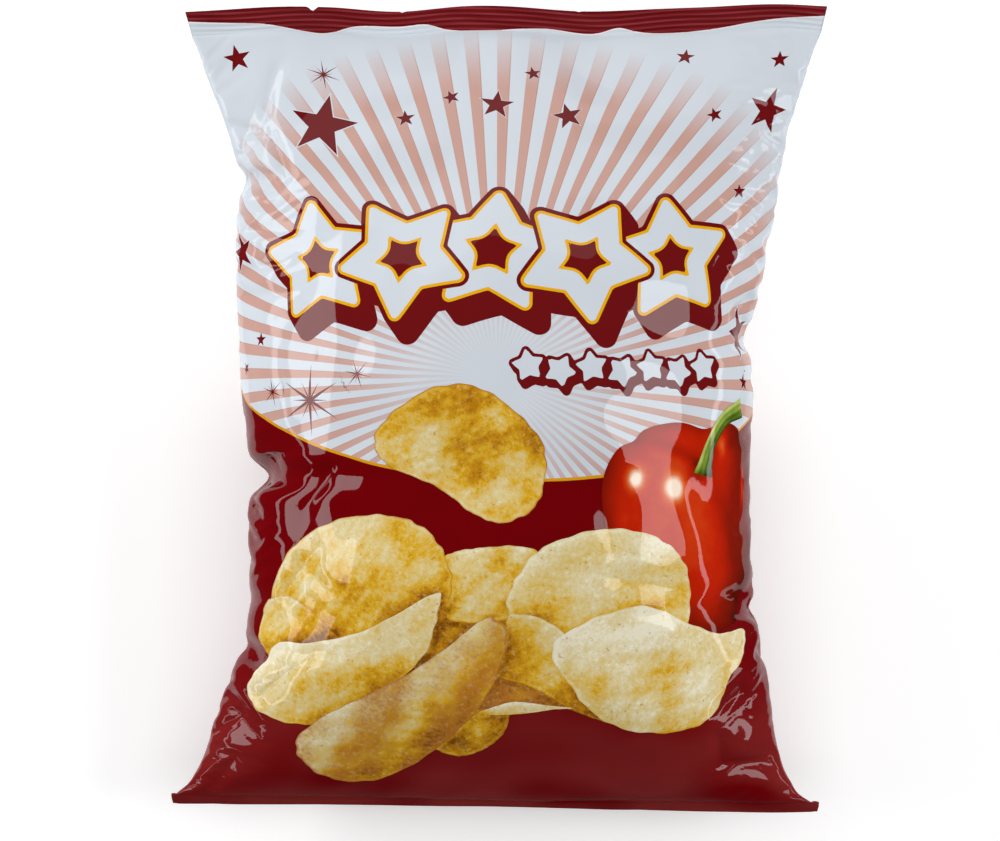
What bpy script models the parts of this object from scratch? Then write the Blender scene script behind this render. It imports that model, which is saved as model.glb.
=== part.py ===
"""A bag of crisps: one pillow of printed film, blown up and full, lying on its back with its front up.

The bag was made from a flat tube of film, welded shut across both ends. Filled, its middle draws in
and its corners stay wide. +X is to the right of the front, +Y towards the top weld, +Z out of the
front. The origin is under the middle of the bag, on the surface that it lies on.

Each section across the bag is a closed loop: the front film from the left fold to the right one,
and the back film beside it. The sections are lofted from weld to weld, because they run from a
flat strip through a lens to a rounded oval. Lengths are in millimetres until the mesh is made.
"""

import bpy
import numpy as np

MM = 0.001

# Driving sizes
BAG_WIDTH = 272.0  # of the flat film, between its side folds
BAG_LENGTH = 336.0  # from the top edge to the bottom edge, as filled
WELD_HEIGHT = 10.0
WELD_THICKNESS = 1.4
CRIMP_DEPTH = 0.3  # height of the ridges pressed into the welds
FRONT_RISE = 62.0  # how far the front stands above the side folds
SIDE_HEIGHT = 48.0  # how high the side folds lie above the table
BACK_DEPTH = 68.0  # how far the back would hang below the side folds with no table under it
TOP_WELD_LIFT = 43.0  # height of each weld's root above the table
BOTTOM_WELD_LIFT = 38.0
TOP_WELD_TILT = np.radians(8.0)  # the top weld leans a little forward
BOTTOM_WELD_FOLD = np.radians(68.0)  # the bottom weld is turned under the bag
BOTTOM_FOLD_RADIUS = 2.5

# Lengths over which the fullness grows from the welds
BOTTOM_SWELL = 105.0  # blunt, where the crisps have settled
TOP_SWELL = 165.0  # a long wedge, mostly air

# Side folds: (height above the bottom edge, distance from the centre line)
LEFT_SIDE = [
    (4.0, 137.5), (9.0, 130.5), (15.0, 126.3), (38.8, 116.7), (57.0, 110.0), (72.0, 104.6),
    (115.0, 102.2), (160.0, 103.0), (200.0, 106.6), (245.0, 107.8), (264.0, 106.6),
    (281.0, 111.2), (313.0, 124.0), (330.0, 131.5),
]
RIGHT_SIDE = [
    (4.0, 135.0), (8.0, 126.5), (15.0, 121.0), (38.8, 113.4), (57.0, 110.5), (74.0, 106.3),
    (92.0, 104.4), (140.0, 102.6), (172.0, 103.8), (200.0, 103.0), (222.0, 108.0),
    (255.0, 114.6), (281.0, 119.4), (313.0, 130.4), (330.0, 137.5),
]

# Notches where a side fold itself is pinched in: (height, half length, depth)
LEFT_NOTCHES = [(139.5, 10.0, 7.0), (264.0, 8.0, 2.0), (68.0, 6.0, 1.6)]
RIGHT_NOTCHES = [(197.0, 9.0, 2.0), (86.0, 6.0, 1.8)]

# How far the welds' edges wander along the bag: (position across the bag, offset)
TOP_EDGE = [
    (-132.0, -4.0), (-85.0, -1.3), (-70.0, -1.3), (-41.0, -3.4), (-15.0, -1.4), (40.0, -3.6),
    (84.0, -1.8), (120.0, 0.0), (137.5, -1.0),
]
BOTTOM_EDGE = [(-137.5, 3.8), (-60.0, 3.2), (0.0, 2.4), (60.0, 1.0), (110.0, 0.0), (137.5, 0.2)]

# Waves of the top weld, up and down: (waves across the bag, height, phase)
TOP_WAVES = [(1.3, 2.6, 0.6), (3.1, 1.5, 2.1), (5.6, 0.7, 0.4)]
TOP_WAVE_REACH = 60.0

# Creases pressed into the film. Each is a straight valley between two points of the flat film, in
# millimetres right of the centre line and above the bottom edge, with its width and its depth.
FRONT_CREASES = [
    ((-137.0, 260.0), (-96.0, 306.0), 15.0, 4.2),  # top left corner, from the waist to the weld
    ((-137.0, 266.0), (-90.0, 256.0), 11.0, 3.6),  # below it, running inwards
    ((-137.0, 139.0), (-82.0, 152.0), 13.0, 4.6),  # the deep side notch
    ((-137.0, 138.0), (-104.0, 118.0), 10.0, 3.0),
    ((-137.0, 72.0), (-102.0, 58.0), 10.0, 3.2),  # where the left side meets the bottom corner
    ((-128.0, 48.0), (-96.0, 26.0), 9.0, 2.0),
    ((137.0, 198.0), (96.0, 214.0), 11.0, 3.0),  # right side, level with the middle
    ((137.0, 88.0), (92.0, 96.0), 11.0, 3.2),  # right side, above the bottom corner
    ((134.0, 60.0), (92.0, 38.0), 13.0, 2.6),
    ((130.0, 26.0), (84.0, 14.0), 9.0, 2.4),
    ((132.0, 298.0), (104.0, 262.0), 10.0, 2.0),  # top right corner
]
BACK_CREASES = [
    ((-137.0, 268.0), (-84.0, 296.0), 14.0, 3.6),
    ((137.0, 262.0), (82.0, 292.0), 14.0, 3.4),
    ((-137.0, 139.0), (-92.0, 128.0), 13.0, 3.6),
    ((137.0, 196.0), (94.0, 184.0), 12.0, 3.0),
    ((-137.0, 70.0), (-88.0, 44.0), 13.0, 3.2),
    ((137.0, 84.0), (90.0, 56.0), 13.0, 3.2),
]

# The printed fields: white above an arc, dark red below it and on the top weld
ARC_LOW = 139.0  # height of the arc in the middle of the front
ARC_RADIUS = 192.0
WHITE_FILM = "#ccd3db"
DARK_RED_FILM = "#6b0b12"

# Mesh counts
COLUMNS = 40  # across the front film, and as many across the back
BODY_ROWS = 56
WELD_ROWS = 5
SECTION_SAMPLES = 241


def smooth_curve(knots, at):
    """A cubic through (position, value) knots, whose slope at a knot follows the knots beside it."""
    place, value = np.array(knots, float).T
    slope = np.gradient(value, place)
    at = np.clip(at, place[0], place[-1])
    i = np.clip(np.searchsorted(place, at) - 1, 0, len(place) - 2)
    step = place[i + 1] - place[i]
    t = (at - place[i]) / step
    start = (1 + 2 * t) * (1 - t) ** 2 * value[i] + t * (1 - t) ** 2 * step * slope[i]
    end = t * t * (3 - 2 * t) * value[i + 1] - t * t * (1 - t) * step * slope[i + 1]
    return start + end


def fade(distance, reach):
    """1 at no distance, falling smoothly to 0 at reach."""
    t = np.clip(1 - np.abs(distance) / reach, 0, 1)
    return t * t * (3 - 2 * t)


def side_fold(knots, notches, height):
    """Distance of a side fold from the centre line, with its notches."""
    reach = smooth_curve(knots, height)
    for at, half_length, depth in notches:
        reach = reach - depth * fade(height - at, half_length)
    return reach


def weld_path(distance, top):
    """(along, up, lean) of a weld's middle at a distance from its root.

    The top weld leans straight up by its tilt. The bottom one turns under over a small radius, and
    then runs straight on.
    """
    if top:
        lean = TOP_WELD_TILT + 0 * distance
        return distance * np.cos(lean), distance * np.sin(lean), lean
    lean = np.minimum(distance / BOTTOM_FOLD_RADIUS, BOTTOM_WELD_FOLD)
    straight = distance - lean * BOTTOM_FOLD_RADIUS
    along = BOTTOM_FOLD_RADIUS * np.sin(lean) + straight * np.cos(lean)
    down = BOTTOM_FOLD_RADIUS * (1 - np.cos(lean)) + straight * np.sin(lean)
    return -along, -down, lean


BODY_BOTTOM = -float(weld_path(WELD_HEIGHT, top=False)[0])
BODY_TOP = BAG_LENGTH - float(weld_path(WELD_HEIGHT, top=True)[0])


def fullness(height):
    """Share of the full thickness: blunt above the bottom weld, a wedge below the top one."""
    from_bottom = np.clip((height - BODY_BOTTOM) / BOTTOM_SWELL, 0, 1)
    from_top = np.clip((BODY_TOP - height) / TOP_SWELL, 0, 1)
    return (1 - (1 - from_bottom) ** 2.4) ** 0.42 * np.sin(np.pi / 2 * from_top) ** 0.95


def fold_height(height):
    """Height of the side folds above the table: low at the welds, highest in the middle."""
    knots = [
        (BODY_BOTTOM, BOTTOM_WELD_LIFT),
        (60.0, SIDE_HEIGHT - 3.0),
        (150.0, SIDE_HEIGHT),
        (250.0, SIDE_HEIGHT - 1.0),
        (BODY_TOP, TOP_WELD_LIFT),
    ]
    return smooth_curve(knots, height)


def press_on_table(share):
    """Height of the back film as a share of the fold's height, for the share that it would hang down.

    Below 0.8 the film hangs free; it then meets the table in a smooth curve and lies flat on it.
    """
    curve = (1.2 - np.clip(share, 0.8, 1.2)) ** 2 / 0.8
    return np.where(share < 0.8, 1 - share, curve)


def section(height, front):
    """Dense points (x, z) of one film across the bag at each height, as arrays of rows by samples."""
    h = height[:, None]
    across = np.sin(np.linspace(-np.pi / 2, np.pi / 2, SECTION_SAMPLES))[None, :]
    left = side_fold(LEFT_SIDE, LEFT_NOTCHES, h)
    right = side_fold(RIGHT_SIDE, RIGHT_NOTCHES, h)
    x = across * (right + left) / 2 + across**2 * (right - left) / 2
    full = fullness(h)
    weld = WELD_THICKNESS / 2 * np.clip((1 - np.abs(across)) / 0.02, 0, 1)
    if front:
        crown = np.clip(1 - np.abs(across) ** 2.15, 0, 1) ** (0.92 - 0.40 * full)
        return x, fold_height(h) + weld + FRONT_RISE * full * crown
    crown = np.clip(1 - np.abs(across) ** 2.6, 0, 1) ** (0.92 - 0.36 * full)
    share = (weld + BACK_DEPTH * full * crown) / fold_height(h)
    return x, fold_height(h) * press_on_table(share)


def spread_evenly(x, z):
    """Points at equal distances along each row's curve, as the film's columns lie."""
    steps = np.hypot(np.diff(x, axis=1), np.diff(z, axis=1))
    length = np.hstack([np.zeros((len(x), 1)), np.cumsum(steps, axis=1)])
    share = np.linspace(0, 1, COLUMNS + 1)
    rows = range(len(x))
    even_x = np.array([np.interp(share * length[r, -1], length[r], x[r]) for r in rows])
    even_z = np.array([np.interp(share * length[r, -1], length[r], z[r]) for r in rows])
    return even_x, even_z


def body_heights():
    """Heights of the body's rows, at equal distances along the middle of the front film."""
    h = np.linspace(BODY_BOTTOM, BODY_TOP, 2001)
    z = fold_height(h) + FRONT_RISE * fullness(h)
    length = np.concatenate([[0], np.cumsum(np.hypot(np.diff(h), np.diff(z)))])
    return np.interp(np.linspace(0, length[-1], BODY_ROWS + 1), length, h)


def crease_depth(creases, across, height):
    """Depth of all the valleys at each point of the flat film, deepest on a valley's line."""
    depth = np.zeros_like(across)
    for (x0, y0), (x1, y1), width, deep in creases:
        run = np.hypot(x1 - x0, y1 - y0)
        along = ((across - x0) * (x1 - x0) + (height - y0) * (y1 - y0)) / run**2
        aside = ((across - x0) * (y1 - y0) - (height - y0) * (x1 - x0)) / run
        valley = np.clip(1 - np.abs(aside) / width, 0, 1) ** 1.5
        ends = fade(np.clip(along - 0.45, 0, None), 0.55) * fade(np.clip(-along, 0, None), 0.25)
        depth += deep * valley * ends
    return depth


def outward_normals(points, front):
    """Unit normals of a grid of points, out of the bag."""
    normal = np.cross(np.gradient(points, axis=1), np.gradient(points, axis=0))
    length = np.linalg.norm(normal, axis=2, keepdims=True)
    return normal / np.maximum(length, 1e-9) * (1 if front else -1)


def wandered(x, height):
    """Position along the bag, with the wandering of both edges shared out over its length."""
    share = height / BAG_LENGTH
    low = (1 - share) ** 2 * smooth_curve(BOTTOM_EDGE, x)
    return height + low + share**2 * smooth_curve(TOP_EDGE, x)


def top_wave(x, height):
    """Lift of the film near the top weld, which hangs in loose waves."""
    wave = sum(
        rise * np.sin(2 * np.pi * count * x / BAG_WIDTH + phase) for count, rise, phase in TOP_WAVES
    )
    return wave * fade(BODY_TOP - np.minimum(height, BODY_TOP), TOP_WAVE_REACH)


def body_film(front):
    """Grid of points of one film, from the bottom weld's root to the top one's."""
    heights = body_heights()
    x, z = spread_evenly(*section(heights, front))
    h = heights[:, None] + 0 * x
    points = np.stack([x, wandered(x, h), z + top_wave(x, h)], axis=2)
    flat_across = np.linspace(-1, 1, COLUMNS + 1)[None, :] * BAG_WIDTH / 2 + 0 * h
    depth = crease_depth(FRONT_CREASES if front else BACK_CREASES, flat_across, h)
    depth *= np.clip(fullness(h) * 2.5, 0, 1)
    depth[:, [0, -1]] = 0  # the two films share their side folds
    pressed = points - depth[:, :, None] * outward_normals(points, front)
    pressed[:, :, 2] = np.maximum(pressed[:, :, 2], 0)
    return pressed


def weld_face(front_root, back_root, side, top):
    """Rows of points of one face of a weld (side 1 front, -1 back), carried on from the body's end.

    Each row stands off the weld's middle by half the thickness, and by the ridge pressed there.
    """
    middle = (front_root + back_root) / 2
    half = (front_root - back_root)[:, 2] / 2
    row = np.arange(1, WELD_ROWS + 1)[:, None]
    along, up, lean = weld_path(WELD_HEIGHT * row / WELD_ROWS, top)
    offset = side * half + CRIMP_DEPTH * (-1.0) ** row
    x = middle[:, 0] + 0 * offset
    y = middle[:, 1] + along - np.sin(lean) * offset
    z = middle[:, 2] + up + np.cos(lean) * offset
    return np.stack([x, y, z], axis=2)


def bag_rows():
    """Closed loops of points around the bag, from the bottom weld's edge to the top one's."""
    front = body_film(front=True)
    back = body_film(front=False)
    films = []
    for film, side in ((front, 1), (back, -1)):
        below = weld_face(front[0], back[0], side, top=False)[::-1]
        above = weld_face(front[-1], back[-1], side, top=True)
        films.append(np.concatenate([below, film, above]))
    return np.concatenate([films[0], films[1][:, -2:0:-1]], axis=1)


def loft_faces(rows, around):
    """Quads between neighbouring loops, and across the first and the last loop to close the ends."""
    faces = []
    for row in range(rows - 1):
        for i in range(around):
            j = (i + 1) % around
            low, high = row * around, (row + 1) * around
            faces.append((low + i, low + j, high + j, high + i))
    last = (rows - 1) * around
    for i in range(COLUMNS):
        under = [(around - i) % around, around - i - 1]
        top_cap = [i, i + 1] + under[::-1]
        faces.append(tuple(dict.fromkeys(last + k for k in top_cap)))
        faces.append(tuple(dict.fromkeys(k for k in top_cap[::-1])))
    return faces


def linear(colour):
    """Linear colour of a hex code."""
    share = [int(colour[i : i + 2], 16) / 255 for i in (1, 3, 5)]
    return [c / 12.92 if c <= 0.04045 else ((c + 0.055) / 1.055) ** 2.4 for c in share] + [1]


def printed_film(name, colour):
    """Glossy printed film."""
    material = bpy.data.materials.new(name)
    material.use_nodes = True
    shader = material.node_tree.nodes["Principled BSDF"]
    shader.inputs["Base Color"].default_value = linear(colour)
    shader.inputs["Roughness"].default_value = 0.22
    shader.inputs["Coat Weight"].default_value = 0.6
    material.diffuse_color = linear(colour)
    return material


def is_dark_red(x, height):
    """Whether the print is dark red there: below the arc, and on the top weld."""
    arc = ARC_LOW + ARC_RADIUS - np.sqrt(ARC_RADIUS**2 - x**2)
    return (height < arc) | (height > BODY_TOP)


def build_bag():
    rows = bag_rows()
    middle = (rows.min(axis=(0, 1)) + rows.max(axis=(0, 1))) / 2
    origin = np.array([middle[0], middle[1], rows[:, :, 2].min()])
    vertices = (rows - origin).reshape(-1, 3) * MM
    mesh = bpy.data.meshes.new("bag")
    mesh.from_pydata(vertices.tolist(), [], loft_faces(*rows.shape[:2]))
    mesh.materials.append(printed_film("white_printed_film", WHITE_FILM))
    mesh.materials.append(printed_film("dark_red_printed_film", DARK_RED_FILM))
    centres = np.array([face.center for face in mesh.polygons]) / MM + origin
    mesh.polygons.foreach_set("material_index", is_dark_red(centres[:, 0], centres[:, 1]).astype(int))
    mesh.shade_smooth()
    mesh.set_sharp_from_angle(angle=np.radians(50))
    bag = bpy.data.objects.new("bag", mesh)
    collection = bpy.data.collections.new("bag_of_crisps")
    bpy.context.scene.collection.children.link(collection)
    collection.objects.link(bag)


for thing in list(bpy.data.objects):
    bpy.data.objects.remove(thing, do_unlink=True)

build_bag()
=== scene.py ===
"""The looks of a full bag of crisps that lies on its back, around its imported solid.

The bag is one tube of glossy printed film. Its two sides start as the same smooth pillow as the
solid, computed section by section, and the spare film along the folds is then let go, so that it
crinkles. The print is worked out in the film's own millimetres: across from the middle, and up
from the bottom weld. Lengths are in millimetres, and the frame's metres come in where a mesh is
made.
"""

import bpy
import numpy as np
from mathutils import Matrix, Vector


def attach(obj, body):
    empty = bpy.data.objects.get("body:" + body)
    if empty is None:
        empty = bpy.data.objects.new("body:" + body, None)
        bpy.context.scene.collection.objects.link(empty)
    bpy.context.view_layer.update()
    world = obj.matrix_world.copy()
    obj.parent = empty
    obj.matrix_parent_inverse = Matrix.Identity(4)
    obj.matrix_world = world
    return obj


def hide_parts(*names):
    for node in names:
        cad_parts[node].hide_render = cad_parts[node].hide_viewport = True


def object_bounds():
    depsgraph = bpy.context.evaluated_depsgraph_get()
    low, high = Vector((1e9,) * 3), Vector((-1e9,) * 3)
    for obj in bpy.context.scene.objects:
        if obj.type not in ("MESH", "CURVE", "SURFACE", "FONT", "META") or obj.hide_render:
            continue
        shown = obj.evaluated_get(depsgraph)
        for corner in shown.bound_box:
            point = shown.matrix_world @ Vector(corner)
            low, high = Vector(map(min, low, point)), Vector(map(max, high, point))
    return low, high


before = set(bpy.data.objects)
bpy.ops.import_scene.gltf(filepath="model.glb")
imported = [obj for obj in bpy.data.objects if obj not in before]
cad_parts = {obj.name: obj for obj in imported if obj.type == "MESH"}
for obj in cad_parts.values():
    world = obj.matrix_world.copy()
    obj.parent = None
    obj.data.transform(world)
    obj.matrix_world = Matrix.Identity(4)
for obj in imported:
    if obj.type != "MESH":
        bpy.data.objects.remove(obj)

MM = 0.001
cad_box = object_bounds()

# Driving sizes, as in the solid. Heights are above the bag's bottom edge.
FILM_WIDTH = 272.0  # flat, between the side folds
BAG_LENGTH = 336.0
WELD_HEIGHT = 10.0
FRONT_RISE = 62.0
SIDE_HEIGHT = 48.0
BACK_DEPTH = 68.0
TOP_WELD_LIFT = 43.0
BOTTOM_WELD_LIFT = 38.0
TOP_WELD_TILT = np.radians(8.0)
BOTTOM_WELD_FOLD = np.radians(68.0)
BOTTOM_FOLD_RADIUS = 2.5
BOTTOM_SWELL = 105.0
TOP_SWELL = 165.0
SWELL_POWERS = (2.4, 0.42, 0.95)
CROWN_START = 0.92  # the crown's power where the bag is flat
FRONT_CROWN = (2.15, 0.40)  # power across, and how much blunter where the bag is full
BACK_CROWN = (2.6, 0.36)

# The film itself, which the solid only stands for
WELD_THICKNESS = 0.5
FILM_CLEARANCE = 0.35  # the back film lies this far above the table, on its lap seam

# Side folds: (height, distance from the centre line). Beside the top weld they run in a little
# further than the solid's, and the weld's sides flare out again by a share of its width.
WELD_FLARE = (0.029, 0.018)  # left, right
LEFT_SIDE = [
    (4, 137.5), (9, 130.5), (15, 126.3), (38.8, 116.7), (57, 110), (72, 104.6), (115, 102.2),
    (160, 103), (200, 106.6), (245, 107.8), (264, 106.6), (281, 111.2), (313, 123.2), (330, 128.2),
]
RIGHT_SIDE = [
    (4, 135), (8, 126.5), (15, 121), (38.8, 113.4), (57, 110.5), (74, 106.3), (92, 104.4),
    (140, 102.6), (172, 103.8), (200, 103), (222, 108), (255, 114.6), (281, 119.6), (313, 130.2),
    (330, 135),
]
LEFT_NOTCHES = [(139.5, 10, 7), (264, 8, 2), (68, 6, 1.6)]
RIGHT_NOTCHES = [(197, 9, 2), (86, 6, 1.8)]
TOP_EDGE = [
    (-132, -4), (-85, -1.3), (-70, -1.3), (-41, -3.4), (-15, -1.4), (40, -3.6), (84, -1.8),
    (120, 0), (137.5, -1),
]
BOTTOM_EDGE = [(-137.5, 3.8), (-60, 3.2), (0, 2.4), (60, 1), (110, 0), (137.5, 0.2)]
TOP_WAVES = [(1.3, 2.6, 0.6), (3.1, 1.5, 2.1), (5.6, 0.7, 0.4)]
TOP_WAVE_REACH = 60.0

# Creases: (start, end, width, depth), on the flat film, right of the centre line and above the edge
FRONT_CREASES = [
    ((-137, 260), (-96, 306), 15, 4.2), ((-137, 266), (-90, 256), 11, 3.6),
    ((-137, 139), (-82, 152), 13, 4.6), ((-137, 138), (-104, 118), 10, 3),
    ((-137, 72), (-102, 58), 10, 3.2), ((-128, 48), (-96, 26), 9, 2),
    ((137, 198), (96, 214), 11, 3), ((137, 88), (92, 96), 11, 3.2), ((134, 60), (92, 38), 13, 2.6),
    ((130, 26), (84, 14), 9, 2.4), ((132, 298), (104, 262), 10, 2),
]
BACK_CREASES = [
    ((-137, 268), (-84, 296), 14, 3.6), ((137, 262), (82, 292), 14, 3.4),
    ((-137, 139), (-92, 128), 13, 3.6), ((137, 196), (94, 184), 12, 3),
    ((-137, 70), (-88, 44), 13, 3.2), ((137, 84), (90, 56), 13, 3.2),
]
# Smaller ones that the solid leaves out, which break up the front's reflections
FINE_CREASES = [
    ((-132, 269), (-97, 282), 6, 2.6), ((-125, 287), (-99, 282), 5, 2.4),
    ((-99, 282), (-90, 259), 6, 2), ((-94, 310), (-106, 281), 6, 2.6),
    ((-130, 67), (-83, 61), 7, 2.2), ((-101, 51), (-70, 73), 8, 1.3),
    ((-94, 93), (-71, 116), 8, 1.2), ((-87, 105), (-63, 90), 7, 1), ((-72, 142), (-88, 122), 7, 1),
    ((-124, 6), (-110, 27), 6, 1.6), ((-137, 29), (-111, 44), 7, 2), ((130, 93), (82, 90), 6, 1.9),
    ((49, 100), (90, 92), 9, 0.8), ((108, 53), (87, 41), 7, 1.8), ((120, 22), (85, 21), 6, 1.8),
    ((94, 34), (96, 18), 6, 1.5), ((125, 305), (112, 284), 7, 1.5),
    ((123, 276), (104, 271), 6, 1.2), ((119, 255), (103, 236), 6, 1),
    ((117, 213), (101, 201), 7, 1.6),
]

# Spare film, as a share of its length. Along the bag it grows towards the side folds.
SIDE_SLACK = 0.002
SIDE_SLACK_FROM = 0.5
END_SLACK = 0.001  # across the bag, beside each weld
END_SLACK_REACH = 0.12  # of the film's length
# Places with more of it: (front or back, across, up, reach, share)
PINCHES = [
    (1, -124, 286, 30, 0.035), (1, -128, 156, 22, 0.05), (1, -126, 74, 20, 0.05),
    (1, -114, 34, 24, 0.02), (1, 128, 320, 22, 0.03), (1, 130, 275, 24, 0.03),
    (1, 126, 222, 22, 0.035), (1, 126, 100, 18, 0.06), (1, 112, 36, 24, 0.03),
    (-1, -124, 200, 40, 0.04), (-1, 124, 120, 40, 0.04), (-1, -118, 310, 34, 0.03),
    (-1, 116, 40, 30, 0.03),
]
PINCH_ACROSS = 0.3  # share of it across the bag

# The print, on the flat film. An arc parts the white field above from the dark red one below.
ARC_CENTRE = (8.0, 449.7)
ARC_RADIUS = 278.3
RAY_CENTRE = (-0.8, 212.2)
RAY_COUNT = 72
# Strength of the rays at a distance from their centre
RAY_GLOW = [
    (0, 0), (16, 0.10), (60, 0.9), (100, 1), (134, 0.95), (149, 0.5), (163, 0),
]
# A painted sheen: below this height the red turns lighter and browner, in patches: (length in
# millimetres, strength)
LOW_FROM = 130.0
LOW_PATCHES = [(70, 0.35), (24, 0.35)]
LOW_SHARE = 0.72
LOW_VARIES = 0.12
# Lower edge of the red band on the top weld: (across, height above the weld's root)
BAND_EDGE = [
    (-136, 6), (-114, 4.4), (-99, 3.2), (-84, 0.4), (-74, -1.4), (-60, 2.8), (-41, 3.8), (-29, 3.7),
    (-23, 1.4), (-5, -0.2), (10, 1.2), (19, 1.9), (41, 1), (50, 2.9), (56, 1.3), (91, 1.1),
    (104, 2.7), (117, 4.2), (136, 6.1),
]
# Stars and sparkles: (across, up, radius, turn in degrees)
STARS = [
    (-113, 360.5, 7.5, 8), (-73.5, 324.5, 15.8, -12), (-38, 328.5, 4.3, 5), (-19.5, 338.5, 3.8, 20),
    (-1, 335, 7.4, -6), (14, 352, 3.7, 12), (28, 330, 6.5, 14), (77, 360.5, 4.2, -10),
    (119, 357.5, 4.5, 6), (90, 330, 3.9, 18), (117, 332, 11.5, -14), (104, 293.5, 3.8, 0),
    (116, 231, 11.5, 10), (112.5, 211, 3.7, -8), (-122, 267, 9, 15), (-108.5, 228.5, 3.3, 0),
    (-119.5, 216.5, 3.1, 30),
]
SPARKLES = [
    (-73, 350.5, 8, 8), (-79.5, 203, 15, 0), (-99.5, 206.5, 6.5, 12), (-57.5, 214, 6.5, 20),
]
# Five plump stars across the white field, each second one over its neighbours, and a line of
# seven small ones below
PLUMP_WAIST = 0.56
UNDER_STARS = [(-76, 262, 24.5, 8), (-2.5, 264.5, 25.5, -6), (71, 263, 24.5, 7)]
OVER_STARS = [(-39, 263.5, 25, 30), (34, 262.5, 25, 43)]
TAG_COUNT = 7
TAG_START = (11.5, 216.5)
TAG_STEP = 12.6
TAG_SWAY = 0.9
TAG_RADIUS = 6.0
TAG_TURNS = (10.0, -26.0)
TAGS = [
    (TAG_START[0] + TAG_STEP * i, TAG_START[1] + TAG_SWAY * (-1) ** i, TAG_RADIUS, TAG_TURNS[i % 2])
    for i in range(TAG_COUNT)
]
# Rows of plump stars: (measure, stars, rounding, fall of their shadow)
PLUMP_ROWS = [
    ("under", UNDER_STARS, 1.6, (5.5, -8.0)),
    ("over", OVER_STARS, 1.6, (5.5, -8.0)),
    ("tag", TAGS, 0.5, (1.6, -2.4)),
]
SHADOW_STEPS = 8
STAR_SEARCH = 1.3  # a star is drawn out to this many of its radii
FAR = 99.0
AWAY = 20.0  # added to a star's measures where none is near

WHITE = "#cfd6de"
BAND_EDGE_HIGHLIGHT = "#e6dfe2"
ROSE = "#c69c90"
ROSE_EDGE = "#bb9086"
STAR_RED = "#6c1013"
RED = "#6e0006"
LOW_SHEEN_RED = "#842827"
DEEP_RED = "#70151a"
RIDGE_HIGHLIGHT_RED = "#8f383c"
GROOVE_SHADE_RED = "#560c10"
GOLD = "#d8981a"
YELLOW = "#e6aa14"

STAR_WAIST = 0.40
STAR_EDGE = (1 - STAR_WAIST * np.cos(np.pi / 5), STAR_WAIST * np.sin(np.pi / 5))
STAR_LEAN = float(np.arctan2(*STAR_EDGE))
STAR_SPAN = float(STAR_EDGE[1] / np.hypot(*STAR_EDGE))

# Measures that the print, its painted sheen and its painted crimp light read as they are
SINGLE_MEASURES = [
    "arc", "ray", "glow", "band", "under", "under_shade", "over", "over_shade", "tag", "tag_shade",
    "ridge", "streak", "low",
]
# Sums that it works out: (name, operation, terms). A star is folded onto one of its edges, and a
# sparkle onto one of its twelve hairs, of which each second one is short.
PRINT_SUMS = [
    ("ray_part", "FRACT", "ray"),
    ("star_fold", "PINGPONG", "star_turn", float(np.pi / 5)),
    ("star_lean", "SUBTRACT", "star_fold", STAR_LEAN),
    ("star_cosine", "COSINE", "star_lean"),
    ("star_gap", "MULTIPLY_ADD", "star_reach", "star_cosine", "star_away"),
    ("hair_fold", "PINGPONG", "sparkle_turn", float(np.pi / 12)),
    ("hair_pair", "PINGPONG", "sparkle_turn", float(np.pi / 6)),
    ("hair_long", "LESS_THAN", "hair_pair", float(np.pi / 12)),
    ("hair_length", "MULTIPLY_ADD", "hair_long", 0.42, 0.58),
    ("hair_aside", "MULTIPLY", "sparkle_reach", "hair_fold"),
    ("hair_left", "SUBTRACT", "hair_length", "sparkle_reach"),
    ("hair_taper", "MULTIPLY", "hair_left", -0.055),
    ("hair_thin", "ADD", "hair_aside", "hair_taper"),
    ("hair_gap", "ADD", "hair_thin", "sparkle_away"),
    ("core_gap", "ADD", "sparkle_reach", "sparkle_away"),
]
# The print's layers, from the first laid, painted sheen, highlight and shade among them: (measure,
# from, to, strength, ink). The plump stars have rings: (distance from their outline, ink).
PLUMP_RINGS = [(1.3, YELLOW), (0.0, WHITE), (-8.4, YELLOW), (-9.6, STAR_RED)]
PRINT_LAYERS = [
    ("ray_part", 0.0, 0.45, "glow", ROSE),
    ("ray_part", 0.415, 0.45, "glow", ROSE_EDGE),
    ("core_gap", -1.0, 0.16, "", ROSE),
    ("hair_gap", -9.0, 0.0, "", STAR_RED),
    ("star_gap", -9.0, STAR_SPAN + 0.03, "", WHITE),
    ("star_gap", -9.0, STAR_SPAN, "", STAR_RED),
    ("arc", 0.0, 900.0, "", RED),
    # painted sheen: a lighter, browner red lower down, in patches
    ("arc", 0.0, 900.0, "low", LOW_SHEEN_RED),
    ("arc", -0.62, 0.62, "", GOLD),
    ("tag_shade", -90.0, 1.3, "", STAR_RED),
    ("tag", -90.0, 0.0, "", WHITE),
    ("under_shade", -90.0, 3.2, "", STAR_RED),
    ("over_shade", -90.0, 3.2, "", STAR_RED),
    *(("under", -90.0, reach, "", ink) for reach, ink in PLUMP_RINGS),
    ("over", -90.0, 2.9, "", STAR_RED),
    *(("over", -90.0, reach, "", ink) for reach, ink in PLUMP_RINGS),
    # a painted highlight: a thin pale line along the red band's lower edge
    ("band", -0.5, 0.0, "", BAND_EDGE_HIGHLIGHT),
    ("band", 0.0, 90.0, "", DEEP_RED),
    # painted light on the crimps: a painted highlight on their ridges and painted shade in their
    # grooves
    ("ridge", 0.35, 9.0, "streak", RIDGE_HIGHLIGHT_RED),
    ("ridge", -9.0, -0.45, "streak", GROOVE_SHADE_RED),
]
FILM_FINISH = {
    "Roughness": 0.5,
    "IOR": 1.49,
    "Specular IOR Level": 0.0,
    "Coat Weight": 0.55,
    "Coat Roughness": 0.035,
    "Coat IOR": 1.5,
}
WELD_FINISH = {"Coat Weight": 0.16, "Coat Roughness": 0.2, "Roughness": 0.6}
RIPPLE_SCALE = 140.0  # per metre: swells of about 7 mm
RIPPLE_HEIGHT = 0.00003  # in metres

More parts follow.
